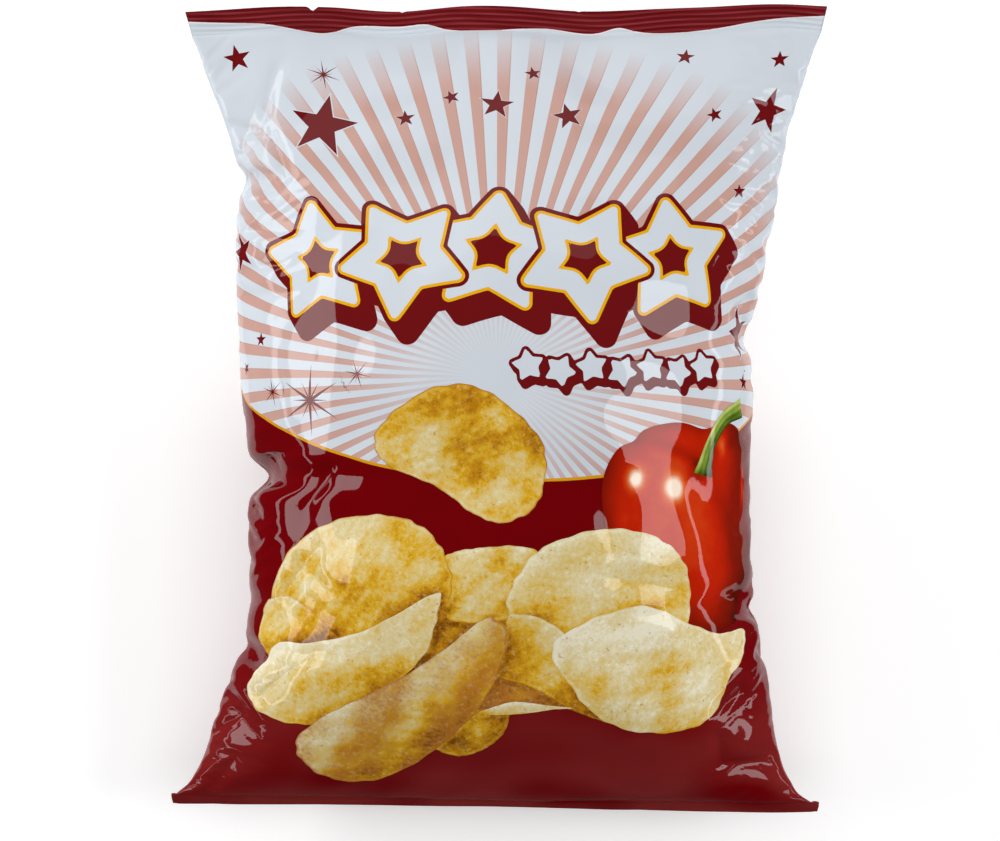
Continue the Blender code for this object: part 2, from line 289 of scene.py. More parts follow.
# Pictures of food on the print, as skins over the film
PICTURE_RISE = 0.13
PICTURE_STEP = 0.045  # from a layer to the next
OVAL = [
    (-50.5, 187), (-48, 193), (-40.5, 200), (-29, 207), (-18, 209.5), (-9, 208.5), (0, 204),
    (8.5, 197), (15.5, 189.5), (18.5, 182), (18.5, 173.5), (16.5, 165), (13, 159.5), (6.5, 155.5),
    (-0.5, 154), (-6.5, 156), (-12.5, 159), (-18.5, 164), (-26, 169), (-34, 172.5), (-43, 176),
    (-48.5, 181),
]
LEFT = [
    (-110, 102), (-104, 122), (-91, 142), (-69, 154), (-46, 157), (-30, 152), (-21, 140),
    (-19, 125), (-31, 110), (-53, 102), (-83, 98),
]
BEHIND = [(-111, 103), (-109, 118), (-96, 123), (-81, 118), (-65, 105), (-77, 97), (-97, 95)]
BETWEEN = [
    (-38, 97), (-36, 110), (-26, 124), (-8, 128), (8, 124), (10, 110), (-2, 98), (-20, 93),
]
MIDDLE = [(-27, 128), (-22, 140), (-8, 144), (13, 144), (23, 132), (15, 119), (-5, 114), (-21, 116)]
RIGHT = [
    (3, 121), (8, 134), (18, 145), (40, 152), (61, 150), (75, 141), (81, 127), (78, 112),
    (59, 107), (31, 106), (10, 109),
]
CURLED = [
    (-112, 81), (-107, 94), (-97, 103), (-79, 104), (-57, 109), (-41, 117), (-24, 126),
    (-25, 114), (-30, 100), (-45, 85), (-61, 74), (-80, 67), (-99, 70),
]
TOASTED = [
    (-84, 59), (-73, 71), (-56, 81), (-37, 92), (-19, 105), (-5, 116), (3, 111), (1, 97),
    (-6, 81), (-18, 64), (-34, 46), (-52, 34), (-69, 36), (-81, 47),
]
BROAD = [
    (21, 103), (36, 115), (59, 121), (79, 114), (96, 109), (112, 110), (111, 101), (99, 89),
    (93, 76), (79, 68), (59, 67), (42, 73), (31, 84),
]
SMALL = [(-29, 58), (-25, 69), (-11, 76), (3, 81), (3, 68), (-5, 57), (-17, 51)]
# The folded one: its upper leaf, the hollow under that, and its lower lip
FOLDED = [
    (-2.5, 92), (0.5, 100.5), (2, 109), (4.5, 117.5), (16.5, 116), (26.5, 109.5), (35, 100),
    (40.5, 92), (51, 83.5), (53, 75), (44.5, 72), (34.5, 75), (25.5, 78.5), (17.5, 84), (9.5, 88),
]
HOLLOW = [
    (-11.5, 78), (-5.5, 87), (1.5, 93), (10.5, 90.5), (20.5, 84.5), (30.5, 79.5), (24.5, 77),
    (12.5, 77.5), (0.5, 76.5),
]
LIP = [
    (-8.5, 75.5), (-2.5, 78), (4.5, 80), (10.5, 80), (20.5, 78.5), (29.5, 78), (22.5, 77),
    (14.5, 75.5), (5.5, 74.5), (-2.5, 74.5),
]
# (name, outline, turn of its length, half width, layer, seed, dome, lightness, share of toasting)
CRISPS = [
    ("crisp_oval", OVAL, -32, 27, 0, 3, -1.0, 0.56, 0.2),
    ("crisp_between", BETWEEN, 0, 14, 0, 37, 0.3, 0.42, 0.1),
    ("crisp_middle", MIDDLE, 0, 15, 1, 5, 0.3, 0.74, 0.0),
    ("crisp_small", SMALL, 50, 12, 1, 7, 0.5, 0.54, 0.1),
    ("crisp_left", LEFT, 27, 26, 2, 11, 0.35, 0.60, 0.05),
    ("crisp_right", RIGHT, 3, 20, 2, 13, 0.3, 0.76, 0.0),
    ("crisp_behind", BEHIND, 30, 12, 3, 31, 0.4, 0.52, 0.15),
    ("crisp_hollow", HOLLOW, 0, 10, 2, 41, 0.2, 0.42, 0.9),
    ("crisp_folded", FOLDED, -34, 18, 3, 17, 1.5, 0.64, 0.0),
    ("crisp_lip", LIP, 0, 3, 4, 43, 0.6, 0.80, 0.0),
    ("crisp_broad", BROAD, 6, 24, 4, 19, 0.4, 0.83, 0.0),
    ("crisp_curled", CURLED, 25, 17, 4, 23, 0.5, 0.78, 0.0),
    ("crisp_toasted", TOASTED, 40, 19, 5, 29, 0.6, 0.60, 0.8),
]
LIT_FROM = (0.55, -0.83)
# (length, slope) of its bumps, and of the patches of pale and golden frying
CRISP_BUMPS = [(34, 0.16), (15, 0.15), (7, 0.13), (4, 0.09)]
CRISP_PATCHES = [(30, 1), (14, 1)]
CRISP_SHADOW = (1.2, -1.8)  # where a crisp's shadow falls, and how far it reaches
CRISP_SHADOW_REACH = 3.4
CRISP_SHADOW_DEPTH = 0.34
SHADOW_SAMPLES = 180  # round an outline
CRISP_DISC = (40, 260)  # rings, and points around
CRISP_RIPPLES = [(0.008, 17, 1), (0.005, 29, 0)]  # (share, count around, share of the seed)
CRISP_RELIEF = 0.5  # how much its dome and bumps shade it
CRISP_FRYING = 0.07
CRISP_PALE_LINE = (0.12, 1.1, 0.5)  # (brightness, distance inside the outline, half width)
CRISP_TOASTING = (0.72, 0.25)  # (share, how much the patches change it)
CRISP_RIM = (1.5, 1.3, 0.45)  # (toasting, how much less on a light crisp, width)
CRISP_INKS = [
    (0.0, "#7d480a"), (0.22, "#bd8212"), (0.42, "#d8a926"), (0.6, "#dac078"), (0.78, "#dfd0a2"),
    (1.0, "#ede6cc"),
]
BLISTER_SIZE = 3.2 * MM
PEPPER_PLACE = (85.0, 153.7)
PEPPER_SIZE = (43.5, 42.8)
PEPPER_DISC = (46, 260)
PEPPER_SQUARENESS = 2.7
PEPPER_RIPPLES = [(0.02, 3, 0.4), (0.016, 5, 1.1)]  # (share, count around, phase)
# (tone, how much lighter the top and darker the rim, and its shaded side: depth, place, reach)
PEPPER_LIGHT = (0.52, 0.08, 0.26, (0.27, 34.0, 28.0))
# Notches between its lobes: (angle, depth as a share, half width)
PEPPER_NOTCHES = [(1.5, 0.09, 0.2), (2.3, 0.045, 0.09), (4.5, 0.05, 0.25)]
# Grooves in it: (start, end, bow, width, darkening)
PEPPER_GROOVES = [
    ((86, 177), (66, 116), 5, 5, 0.07), ((89, 177), (110, 114), -6, 6, 0.10),
    ((86, 178), (52, 189), 2, 3, 0.14), ((90, 180), (118, 190), -2, 3, 0.12),
    ((86, 172), (86, 188), 0, 6, 0.12),
]
# Light on it: (across, up, width, height, brightness)
PEPPER_SPOTS = [
    (55.5, 172.5, 3.4, 4.2, 0.62), (73, 168.5, 4.4, 4.6, 0.66), (98.5, 185.5, 3, 3.6, 0.3),
    (50, 152, 3, 14, 0.08), (118, 168, 1.3, 9, 0.4), (74, 148, 14, 24, 0.09),
]
PEPPER_INKS = [
    (0.0, "#400901"), (0.3, "#861503"), (0.5, "#be2004"), (0.62, "#cf4312"), (0.75, "#de7440"),
    (1.0, "#fbe6d2"),
]
# The stem's path and half width, by the share of its length
STEM_PATH = [(0, (88.5, 173.5)), (0.3, (91, 185)), (0.62, (98.5, 195.5)), (1, (111, 200.8))]
STEM_GRID = (70, 16)
STEM_HALF = [(0, 5.2), (0.18, 3.4), (0.6, 3), (0.85, 3.6), (1, 4.2)]
STEM_INKS = [(0.0, "#23300b"), (0.35, "#4d681c"), (0.65, "#7d9636"), (1.0, "#b9c46e")]
# (name, inks, toasted ink, flecks' ink, grain in mm, strengths of mottling, blisters and specks)
FOOD_PRINTS = [
    ("printed_film_crisps", CRISP_INKS, "#b3712c", "#eee2b4", 1.6, 0.26, 0.12, 0.6),
    ("printed_film_pepper", PEPPER_INKS, "#5a0d06", "#c0240a", 26.0, 0.10, 0.0, 0.0),
    ("printed_film_stem", STEM_INKS, "#2c3a10", "#4e6420", 9.0, 0.3, 0.0, 0.0),
]

# Welds, crimped in fine ridges across the bag, with nicks in the cut edge: (across, depth, reach)
WELD_ROWS = 36
CRIMP_PITCH = 2.1
CRIMP_RISE = 0.2
CRIMP_VARIES = 0.35
CRIMP_VARIES_OVER = 9.3
CRIMP_WANDERS = [(1.6, 21, 0), (0.8, 8, 2)]  # (turn, length over which, start)
NICKS = [(-77, 1.7, 2.4), (-40, 0.5, 1.4), (33, 0.35, 1.5)]
LAP_COLUMNS = 6
LAP_THICKNESS = 0.2

# White paper lies all round, and the film mirrors only the part of it that is near the bag.
TABLE_HALF_WIDTH = 0.17
TABLE_ENDS = (-0.165, 0.23)
FLOOR_HALF = 4.0
ROOM = "#3c3c3c"
# The camera looks straight down on the bag.
PHOTO_WIDTH = 412.6  # seen at the height of the side folds
CAMERA_HEIGHT = 1500.0  # above the side folds
CAMERA_PLACE = (0.0004, -0.0048)
SENSOR_WIDTH = 36.0
# Softboxes: (name, place, aim, width and height, power, whether the film mirrors it)
LAMPS = [
    ("softbox_left", (-1.3, 0.65, 0.64), (0.0, 0.4, 0.05), (2.0, 0.45), 15.5, True),
    ("softbox_right", (1.19, 0.03, 1.01), (0.0, 0.03, 0.05), (0.85, 0.56), 8.6, True),
    ("strip_left", (-1.7, 0.0, 0.2), (0.0, 0.0, 0.05), (2.2, 0.12), 4.0, True),
    ("strip_right", (1.7, 0.2, 0.22), (0.0, 0.1, 0.05), (2.4, 0.13), 5.5, True),
    ("softbox_top", (0.0, 2.2, 1.1), (0.0, 0.1, 0.05), (3.2, 1.0), 10.0, True),
    ("fill_above", (0.0, 0.0, 1.9), (0.0, 0.0, 0.0), (2.4, 2.4), 21.0, False),
]

# The film's grids, coarse to fine: (columns of one side, rows, steps of letting go, stiffness)
LEVELS = [
    (24, 32, 260, 0.1), (48, 64, 220, 0.3), (96, 128, 160, 0.8), (192, 256, 90, 0.95),
    (264, 360, 24, 0.95),
]
# How far the film may stray from the smooth pillow: in the middle, and how much more at the folds,
# but no further than the least room and a share of the bag's thickness there
REACH = 1.2
REACH_MORE = 3.6
ROOM_SHARE = 0.1
ROOM_LEAST = 0.1
# How strongly it is drawn back: in the middle, how much less at the folds, and more in a crease
HOLD = 0.05
HOLD_LESS = 0.046
HOLD_CREASE = 0.06
BLOW = 0.01
START_NOISE = 0.4
CARRIED_ON = 0.8
DIAGONAL_SHARE = 0.6
# Slow dents of the full film: (length, height), each of several sines
DENTS = [(90, 0.5), (55, 0.35), (34, 0.2), (20, 0.08)]
WAVES_EACH = 5
CREASED_FROM = 40.0  # where the bag is thinner than this, its creases and dents are shallower
SECTION_SAMPLES = 241
SEED = 3


def smooth_curve(knots, at):
    """A cubic through (position, value) knots, whose slope at each follows the knots beside it."""
    place, value = np.array(knots, float).T
    slope = np.gradient(value, place)
    at = np.clip(at, place[0], place[-1])
    i = np.clip(np.searchsorted(place, at) - 1, 0, len(place) - 2)
    step = place[i + 1] - place[i]
    t = (at - place[i]) / step
    start = (1 + 2 * t) * (1 - t) ** 2 * value[i] + t * (1 - t) ** 2 * step * slope[i]
    end = t * t * (3 - 2 * t) * value[i + 1] - t * t * (1 - t) * step * slope[i + 1]
    return start + end


def fade(distance, reach):
    """1 at no distance, falling smoothly to 0 at reach: 3 t squared less 2 t cubed."""
    t = np.clip(1 - np.abs(distance) / reach, 0, 1)
    return t * t * (3 - 2 * t)


def side_fold(knots, notches, height):
    """Distance of a side fold from the centre line, with its notches."""
    reach = smooth_curve(knots, height)
    for at, half_length, depth in notches:
        reach = reach - depth * fade(height - at, half_length)
    return reach


def weld_path(distance, top):
    """(along, up, lean) of a weld's middle at a distance from its root.

    The top weld leans straight up by its tilt. The bottom one turns under on a small arc, and then
    runs straight on.
    """
    if top:
        lean = TOP_WELD_TILT + 0 * distance
        return distance * np.cos(lean), distance * np.sin(lean), lean
    lean = np.minimum(distance / BOTTOM_FOLD_RADIUS, BOTTOM_WELD_FOLD)
    straight = distance - lean * BOTTOM_FOLD_RADIUS
    along = BOTTOM_FOLD_RADIUS * np.sin(lean) + straight * np.cos(lean)
    down = BOTTOM_FOLD_RADIUS * (1 - np.cos(lean)) + straight * np.sin(lean)
    return -along, -down, lean


BODY_BOTTOM = -float(weld_path(WELD_HEIGHT, top=False)[0])
BODY_TOP = BAG_LENGTH - float(weld_path(WELD_HEIGHT, top=True)[0])


def fullness(height):
    """Share of the full thickness: a power curve up from the bottom weld, and a sine to the top."""
    from_bottom = np.clip((height - BODY_BOTTOM) / BOTTOM_SWELL, 0, 1)
    from_top = np.clip((BODY_TOP - height) / TOP_SWELL, 0, 1)
    inner, outer, end = SWELL_POWERS
    return (1 - (1 - from_bottom) ** inner) ** outer * np.sin(np.pi / 2 * from_top) ** end


def fold_height(height):
    """Height of the side folds above the table: low at the welds, highest in the middle."""
    knots = [
        (BODY_BOTTOM, BOTTOM_WELD_LIFT),
        (60.0, SIDE_HEIGHT - 3.0),
        (150.0, SIDE_HEIGHT),
        (250.0, SIDE_HEIGHT - 1.0),
        (BODY_TOP, TOP_WELD_LIFT),
    ]
    return smooth_curve(knots, height)


def press_on_table(share):
    """Height of the back film as a share of the fold's height, for the share it would hang down.

    Below 0.8 the film hangs free; it then meets the table in a parabola and lies flat on it.
    """
    curve = (1.2 - np.clip(share, 0.8, 1.2)) ** 2 / 0.8
    return np.where(share < 0.8, 1 - share, curve)


def section(height, side):
    """Dense points (x, z) of one film across the bag at each height, as arrays of rows by samples.

    With s from -1 to 1 across the bag, the film stands off the line between its folds by the
    fullness times (1 - s to a power) to a power, which is blunter where the bag is fuller.
    """
    h = height[:, None]
    across = np.sin(np.linspace(-np.pi / 2, np.pi / 2, SECTION_SAMPLES))[None, :]
    left = side_fold(LEFT_SIDE, LEFT_NOTCHES, h)
    right = side_fold(RIGHT_SIDE, RIGHT_NOTCHES, h)
    x = across * (right + left) / 2 + across**2 * (right - left) / 2
    full = fullness(h)
    weld = WELD_THICKNESS / 2 * np.clip((1 - np.abs(across)) / 0.02, 0, 1)
    power, blunter = FRONT_CROWN if side > 0 else BACK_CROWN
    crown = np.clip(1 - np.abs(across) ** power, 0, 1) ** (CROWN_START - blunter * full)
    if side > 0:
        return x, fold_height(h) + weld + FRONT_RISE * full * crown
    share = (weld + BACK_DEPTH * full * crown) / fold_height(h)
    return x, np.maximum(fold_height(h) * press_on_table(share), FILM_CLEARANCE)


def spread(x, z, columns):
    """Points along each row's curve where the film's columns lie.

    They keep their distance from the middle, which is straight. The difference between each half
    of the curve and half of the film's width comes in by its fifth power, so nearly all of it is
    beside the folds.
    """
    steps = np.hypot(np.diff(x, axis=1), np.diff(z, axis=1))
    length = np.hstack([np.zeros((len(x), 1)), np.cumsum(steps, axis=1)])
    middle = length[:, SECTION_SAMPLES // 2, None]
    share = np.linspace(-1, 1, columns + 1)
    room = np.where(share < 0, middle, length[:, -1:] - middle)
    bent = np.sign(share) * np.abs(share) ** 5
    at = middle + share * FILM_WIDTH / 2 + (room - FILM_WIDTH / 2) * bent
    rows = range(len(x))
    return [np.array([np.interp(at[r], length[r], line[r]) for r in rows]) for line in (x, z)]


def body_heights(rows):
    """(heights of rows at equal distances along the film, length of the film's middle)."""
    h = np.linspace(BODY_BOTTOM, BODY_TOP, 2001)
    z = fold_height(h) + FRONT_RISE * fullness(h)
    length = np.concatenate([[0], np.cumsum(np.hypot(np.diff(h), np.diff(z)))])
    return np.interp(np.linspace(0, length[-1], rows + 1), length, h), length[-1]


FILM_LENGTH = float(body_heights(8)[1])


def beside_line(across, up, start, end):
    """(share of the way from start to end, distance to the right of the line) of places."""
    (x0, y0), (x1, y1) = start, end
    run = np.hypot(x1 - x0, y1 - y0)
    along = ((across - x0) * (x1 - x0) + (up - y0) * (y1 - y0)) / run**2
    return along, ((across - x0) * (y1 - y0) - (up - y0) * (x1 - x0)) / run


def crease_depth(creases, across, height):
    """Depth of all the valleys at each point of the flat film, deepest on a valley's line."""
    depth = np.zeros_like(across)
    for start, end, width, deep in creases:
        along, aside = beside_line(across, height, start, end)
        valley = np.clip(1 - np.abs(aside) / width, 0, 1) ** 1.5
        ends = fade(np.clip(along - 0.45, 0, None), 0.55) * fade(np.clip(-along, 0, None), 0.25)
        depth += deep * valley * ends
    return depth


def wandered(x, height):
    """Position along the bag, with the wandering of both edges shared out over its length."""
    share = height / BAG_LENGTH
    low = (1 - share) ** 2 * smooth_curve(BOTTOM_EDGE, x)
    return height + low + share**2 * smooth_curve(TOP_EDGE, x)


def top_wave(x, height):
    """Lift of the film near the top weld: three sines across, fading down the bag."""
    turn = 2 * np.pi
    wave = sum(rise * np.sin(turn * n * x / FILM_WIDTH + phase) for n, rise, phase in TOP_WAVES)
    return wave * fade(BODY_TOP - np.minimum(height, BODY_TOP), TOP_WAVE_REACH)


def around_the_bag(front, back):
    """Closed loops from the two films, in one array: front to the right, then back to the left."""
    return np.concatenate([front, back[:, -2:0:-1]], axis=1)


def loop_normals(loops):
    """Unit normals of closed loops of points, out of the bag: across the loop times up the rows."""
    across = np.roll(loops, -1, axis=1) - np.roll(loops, 1, axis=1)
    normal = np.cross(across, np.gradient(loops, axis=0))
    return normal / np.linalg.norm(normal, axis=2, keepdims=True)


def across_the_film(columns):
    """Places across the flat film of one loop's points."""
    half = np.linspace(-1, 1, columns + 1)[None, :] * FILM_WIDTH / 2
    return around_the_bag(half, half)


def film_place(columns, rows):
    """(across, up) of every point of the loops on the flat film, in millimetres."""
    across = across_the_film(columns)
    up = np.linspace(0, FILM_LENGTH, rows + 1)[:, None]
    return across + 0 * up, up + 0 * across


def unevenness(points):
    """Slow dents of the filled film: sines of many lengths and directions in space, added up."""
    noise = np.random.default_rng(SEED)
    total = 0
    for length, height in DENTS:
        for _ in range(WAVES_EACH):
            direction = noise.normal(size=3)
            direction *= 2 * np.pi / length / np.linalg.norm(direction)
            total = total + height * np.sin(points @ direction + noise.uniform(0, 2 * np.pi))
    return total


def pillow(columns, rows):
    """The full bag before it crinkles: (creased loops, gap between the films, creases' depth)."""
    heights, _ = body_heights(rows)
    films = []
    for side in (1, -1):
        x, z = spread(*section(heights, side), columns)
        h = heights[:, None] + 0 * x
        films.append(np.stack([x, wandered(x, h), z + top_wave(x, h)], axis=2))
    smooth = around_the_bag(*films)
    apart = np.linalg.norm(films[0] - films[1], axis=2)
    thickness = around_the_bag(apart, apart)
    flat = np.linspace(-1, 1, columns + 1)[None, :] * FILM_WIDTH / 2 + 0 * h
    fronts, backs = (crease_depth(c, flat, h) for c in (FRONT_CREASES + FINE_CREASES, BACK_CREASES))
    inflated = np.clip(thickness / CREASED_FROM, 0, 1)
    depth = around_the_bag(fronts, backs) * inflated
    dented = depth + inflated * unevenness(smooth)
    return smooth - dented[:, :, None] * loop_normals(smooth), thickness, depth


def film_slack(columns, rows):
    """(along, across) spare film at every point of the loops, as a share of its length."""
    across, up = film_place(columns, rows)
    aside = np.abs(across) / (FILM_WIDTH / 2)
    edge = np.clip((aside - SIDE_SLACK_FROM) / (1 - SIDE_SLACK_FROM), 0, 1)
    along = SIDE_SLACK * edge**2 * (3 - 2 * edge)
    side = np.where(np.arange(2 * columns) <= columns, 1, -1)[None, :]
    share = up / FILM_LENGTH
    beside = [np.exp(-((way / END_SLACK_REACH) ** 2)) for way in (share, 1 - share)]
    cross = END_SLACK * (beside[0] + beside[1])
    for which, x, y, reach, more in PINCHES:
        near = np.exp(-((across - x) ** 2 + (up - y) ** 2) / reach**2) * (side == which)
        along = along + more * near
        cross = cross + PINCH_ACROSS * more * near
    return along, cross


def stretch(first, second, rest, share, push_only=False):
    """Both ends of springs moved towards the springs' rest length, each by half of the share."""
    gap = second - first
    length = np.sqrt((gap * gap).sum(axis=-1, keepdims=True))
    error = (length - rest) / length
    if push_only:
        error = np.minimum(error, 0)
    move = gap * (0.5 * share * error)
    return first + move, second - move


def spring_rows(points, rest, turn, share):
    """Springs from each row to the next, one column on for a turn of -1, and one back for 1."""
    for start in (0, 1):
        last = start + 2 * ((len(points) - start) // 2)
        low, high = slice(start, last, 2), slice(start + 1, last, 2)
        pair = stretch(points[low], np.roll(points[high], turn, axis=1), rest[low], share)
        points[low], points[high] = pair[0], np.roll(pair[1], -turn, axis=1)


def spring_around(points, rest, start, step, share, push_only=False):
    """The points after springs across: from each (2 * step)th column, to the one a step further."""
    rolled, rest = np.roll(points, -start, axis=1), np.roll(rest, -start, axis=1)
    near, far = slice(0, None, 2 * step), slice(step, None, 2 * step)
    pair = stretch(rolled[:, near], rolled[:, far], rest[:, near], share, push_only)
    rolled[:, near], rolled[:, far] = pair
    return np.roll(rolled, start, axis=1)


def let_go(points, target, lengths, steps, bend, hold, reach, blow):
    """Loops of film relaxed until each spring between neighbours has its length.

    A step carries on the last move, blows the film outwards, draws it a little to its target, and
    then corrects the springs up, across and along both diagonals, and those that keep it from
    bending sharply. No point strays from its target by more than its reach, or below the table.
    """
    up, across, rising, falling = lengths
    double_up, double_across = up[:-1] + up[1:], across + np.roll(across, -1, axis=1)
    move = np.zeros_like(points)
    ends = points[[0, -1]].copy()
    for step in range(steps):
        if step % 5 == 0:
            outward = loop_normals(points)
        new = points + CARRIED_ON * move + blow * outward + hold * (target - points)
        spring_rows(new, up, 0, 1.0)
        for start in (0, 1):
            new = spring_around(new, across, start, 1, 1.0)
        spring_rows(new, rising, -1, DIAGONAL_SHARE)
        spring_rows(new, falling, 1, DIAGONAL_SHARE)
        for start in range(4):
            low, high = new[start:-2:4], new[start + 2 :: 4]
            low[:], high[:] = stretch(low, high, double_up[start::4], bend, push_only=True)
            new = spring_around(new, double_across, start, 2, bend, push_only=True)
        stray = new - target
        far = np.linalg.norm(stray, axis=2, keepdims=True)
        new = target + stray * np.minimum(1, reach / np.maximum(far, 1e-6))
        new[:, :, 2] = np.maximum(new[:, :, 2], FILM_CLEARANCE)
        new[[0, -1]] = ends
        move = new - points
        points = new
    return points


def resampled(points, columns, rows):
    """Closed loops of points on a finer grid, by straight lines between the old ones."""
    old_rows, around = points.shape[0] - 1, points.shape[1]
    at = np.linspace(0, old_rows, rows + 1)
    low = np.minimum(at.astype(int), old_rows - 1)
    part = (at - low)[:, None, None]
    points = points[low] * (1 - part) + points[low + 1] * part
    at = np.arange(2 * columns) * around / (2 * columns)
    low = at.astype(int)
    part = (at - low)[None, :, None]
    return points[:, low] * (1 - part) + points[:, (low + 1) % around] * part


def spring_lengths(loops, columns, rows):
    """Rest lengths of the film's springs (up, across, rising, falling): the pillow's, and slack."""
    along, cross = film_slack(columns, rows)
    along = (1 + along)[:, :, None]
    cross = (1 + cross)[:, :, None]
    right = np.roll(loops, -1, axis=1)
    left = np.roll(loops, 1, axis=1)

    def gap(first, second):
        return np.linalg.norm(second - first, axis=2, keepdims=True)

    up = gap(loops[:-1], loops[1:]) * along[:-1]
    across = gap(loops, right) * cross
    both = (along[:-1] + cross[:-1]) / 2
    return up, across, gap(loops[:-1], right[1:]) * both, gap(loops[:-1], left[1:]) * both


def crinkled_film():
    """The film's loops at the finest level, after its spare length has crinkled at every level."""
    noise = np.random.default_rng(SEED)
    points = None
    for columns, rows, steps, bend in LEVELS:
        creased, thickness, depth = pillow(columns, rows)
        across, _ = film_place(columns, rows)
        edge = np.abs(across[:, :, None]) / (FILM_WIDTH / 2)
        if points is None:
            start = noise.normal(0, START_NOISE, across.shape)[:, :, None]
            points = creased + loop_normals(creased) * start
        else:
            points = resampled(points, columns, rows)
        points[[0, -1]] = creased[[0, -1]]
        finer = LEVELS[0][0] / columns
        roomy = thickness.max(axis=1)[:, None, None]
        reach = np.minimum(REACH + REACH_MORE * edge**2, ROOM_SHARE * roomy + ROOM_LEAST)
        crease = np.clip(depth, 0, 1)[:, :, None]
        hold = (HOLD - HOLD_LESS * edge**2 + HOLD_CREASE * crease) * finer
        lengths = spring_lengths(creased, columns, rows)
        points = let_go(points, creased, lengths, steps, bend, hold, reach, BLOW * finer)
    return points


def linear(colour):
    """Linear red, green, blue and alpha of an sRGB hex colour."""
    share = np.array([int(colour[i : i + 2], 16) / 255 for i in (1, 3, 5)])
    light = np.where(share <= 0.04045, share / 12.92, ((share + 0.055) / 1.055) ** 2.4)
    return (*light.tolist(), 1.0)


def add_node(material, kind, links=(), **settings):
    """A node of this kind with its settings, and the value or the socket of each linked input."""
    tree = material.node_tree
    made = tree.nodes.new(kind)
    for name, value in settings.items():
        setattr(made, name, value)
    for key, value in dict(links).items():
        if isinstance(value, bpy.types.NodeSocket):
            tree.links.new(value, made.inputs[key])
        else:
            made.inputs[key].default_value = value
    return made


def add_piece(name, points, faces, normals, material, across, up, values):
    """A printed piece at the origin, from points in millimetres over the bag's bottom edge.

    It carries the film's normals, its place on the flat film as a map, and what its print reads.
    """
    mesh = bpy.data.meshes.new(name)
    low = np.array([0.0, cad_box[0][1], 0.0])
    mesh.from_pydata((points.reshape(-1, 3) * MM + low).tolist(), [], faces.tolist())
    mesh.shade_smooth()
    corners = np.empty(len(mesh.loops), np.int32)
    mesh.loops.foreach_get("vertex_index", corners)
    place = np.stack([across.reshape(-1) / FILM_WIDTH + 0.5, up.reshape(-1) / FILM_LENGTH], axis=1)
    chart = mesh.uv_layers.new(name="OFBake")
    chart.data.foreach_set("uv", place[corners].astype(np.float32).reshape(-1))
    for key, value in values.items():
        kind, field = ("FLOAT_VECTOR", "vector") if value.ndim > across.ndim else ("FLOAT", "value")
        layer = mesh.attributes.new(key, kind, "POINT")
        layer.data.foreach_set(field, value.astype(np.float32).reshape(-1))
    mesh.normals_split_custom_set_from_vertices(normals.reshape(-1, 3).tolist())
    mesh.materials.append(material)
    piece = bpy.data.objects.new(name, mesh)
    bpy.context.scene.collection.objects.link(piece)
    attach(piece, "root")
    return piece


def grid_faces(rows, columns):
    """Quads of a grid of rows by columns of points."""
    start = (np.arange(rows - 1)[:, None] * columns + np.arange(columns - 1)[None, :]).reshape(-1)
    return np.stack([start, start + 1, start + columns + 1, start + columns], axis=1)


def loop_faces(rows, around):
    """Quads between rows of closed loops of points."""
    start = np.arange(rows - 1)[:, None] * around
    j = np.arange(around)[None, :]
    k = (j + 1) % around
    quads = np.stack([start + j, start + k, start + around + k, start + around + j], axis=2)
    return quads.reshape(-1, 4)


def both_films(loops):
    """The front's grid left to right, and the back's seen from behind, from the closed loops."""
    half = loops.shape[1] // 2
    back = np.concatenate([loops[:, half:], loops[:, :1]], axis=1)
    return loops[:, : half + 1], back


def on_film(grid, across, up):
    """The film grid's values at places on the flat film, straight between its nearest points."""
    rows, columns = grid.shape[:2]
    x = np.clip((across / FILM_WIDTH + 0.5) * (columns - 1), 0, columns - 1.001)
    y = np.clip(up / FILM_LENGTH * (rows - 1), 0, rows - 1.001)
    i, j = y.astype(int), x.astype(int)
    a, b = (x - j)[..., None], (y - i)[..., None]
    low = grid[i, j] * (1 - a) + grid[i, j + 1] * a
    high = grid[i + 1, j] * (1 - a) + grid[i + 1, j + 1] * a
    return low * (1 - b) + high * b


def turned(x, y, degrees):
    """Places (x, y) in a frame that is turned by some degrees, counterclockwise."""
    c, s = np.cos(np.radians(degrees)), np.sin(np.radians(degrees))
    return c * x + s * y, c * y - s * x


def star_gap(x, y, waist):
    """Distance outside a five-pointed star of radius 1, below 0 inside it.

    The star is folded at its ten mirror lines onto the edge from a tip to the waist between two
    tips. The distance is to that edge, and its sign says which side of the edge's line it is on.
    """
    turn = np.abs((np.arctan2(x, y) + np.pi / 5) % (2 * np.pi / 5) - np.pi / 5)
    reach = np.hypot(x, y)
    right, rise = reach * np.sin(turn), reach * np.cos(turn) - 1
    edge_x, edge_y = waist * np.sin(np.pi / 5), waist * np.cos(np.pi / 5) - 1
    share = np.clip((right * edge_x + rise * edge_y) / (edge_x**2 + edge_y**2), 0, 1)
    gap = np.hypot(right - share * edge_x, rise - share * edge_y)
    return np.where(edge_x * rise - edge_y * right > 0, gap, -gap)


def plump_gaps(across, up, stars, rounding, fall):
    """Gaps in millimetres to the faces of plump stars, and to the faces and their shadow.

    The shadow is the faces swept along the fall, a shift in some steps.
    """
    face = shade = np.full(across.shape, FAR)
    for x, y, radius, turn in stars:
        for step in np.linspace(0, 1, SHADOW_STEPS + 1):
            place = turned(across - x - step * fall[0], up - y - step * fall[1], turn)
            gap = star_gap(place[0] / radius, place[1] / radius, PLUMP_WAIST) * radius - rounding
            face = np.minimum(face, gap) if step == 0 else face
            shade = np.minimum(shade, gap)
    return face, shade


